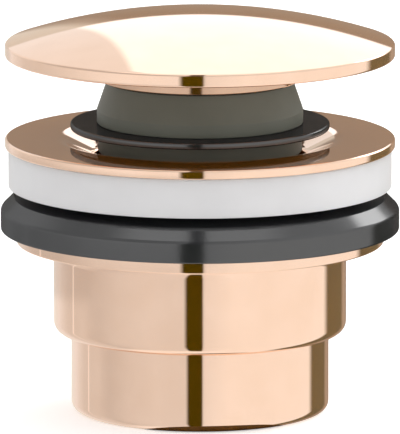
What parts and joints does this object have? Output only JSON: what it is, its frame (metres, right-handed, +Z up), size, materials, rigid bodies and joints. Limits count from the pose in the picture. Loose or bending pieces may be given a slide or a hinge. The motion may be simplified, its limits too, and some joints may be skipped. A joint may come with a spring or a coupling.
{
  "type": "basin drain plug",
  "caption": "Press-to-close basin waste: domed plug on a sprung cartridge, flat flange with threaded stem, soft washers and a screwed lower body with tail.",
  "frame": {"origin": "centre of the tail's lower end, which is the bottom of the part", "axes": "+Z up along the waste's axis, from the tail to the cap; the part is round about it"},
  "size_m": [0.0648, 0.0648, 0.0655],
  "materials": {
    "rose_gold": "polished rose-gold plating over brass",
    "grey_plastic": "satin moulded plastic",
    "black_rubber": "matt black rubber",
    "white_silicone": "soft white silicone",
    "turned_brass": "bright turned brass",
    "steel": "bright spring steel",
    "natural_acetal": "natural moulded acetal",
    "red_fibre": "vulcanised fibre"
  },
  "bodies": {
    "waste_body": {"waste_flange": "rose_gold", "flange_washer": "white_silicone", "cartridge_barrel": "turned_brass", "cartridge_washer": "red_fibre", "lock_washer": "steel", "cartridge_nut": "turned_brass", "end_plug": "turned_brass", "rod_o_ring": "black_rubber", "ratchet_sleeve": "natural_acetal", "return_spring": "steel"},
    "plug": {"plug_cap": "rose_gold", "cap_stud": "steel", "cap_gasket": "black_rubber", "plug_hub": "grey_plastic", "plug_seal": "black_rubber", "plunger": "turned_brass"},
    "cam": {"ratchet_cam": "natural_acetal"},
    "gasket_carrier": {"basin_gasket": "black_rubber", "slip_washer": "natural_acetal"},
    "screw_body": {"lower_body": "rose_gold"}
  },
  "joints": [
    {"name": "plug_press", "type": "slide", "parent": "waste_body", "child": "plug", "axis": [0, 0, 1], "range_m": [-0.002, 0], "stiffness_N_per_m": 1500, "springref_m": 0.004, "deforming": ["return_spring"]},
    {"name": "cam_step", "type": "hinge", "parent": "plug", "child": "cam", "pos_m": [0, 0, 0.029], "axis": [0, 0, 1], "range_deg": [0, 30]},
    {"name": "gasket_slide", "type": "slide", "parent": "waste_body", "child": "gasket_carrier", "axis": [0, 0, 1], "range_m": [-0.01, 0]},
    {"name": "lower_body_screw", "type": "hinge", "parent": "gasket_carrier", "child": "screw_body", "pos_m": [0, 0, 0.02], "axis": [0, 0, 1], "range_deg": [-1559, 0]}
  ],
  "couplings": [
    {"joint": "cam_step", "follows": "plug_press", "rad_per_m": -261.7},
    {"joint": "gasket_slide", "follows": "lower_body_screw", "m_per_rad": 0.00036749}
  ]
}
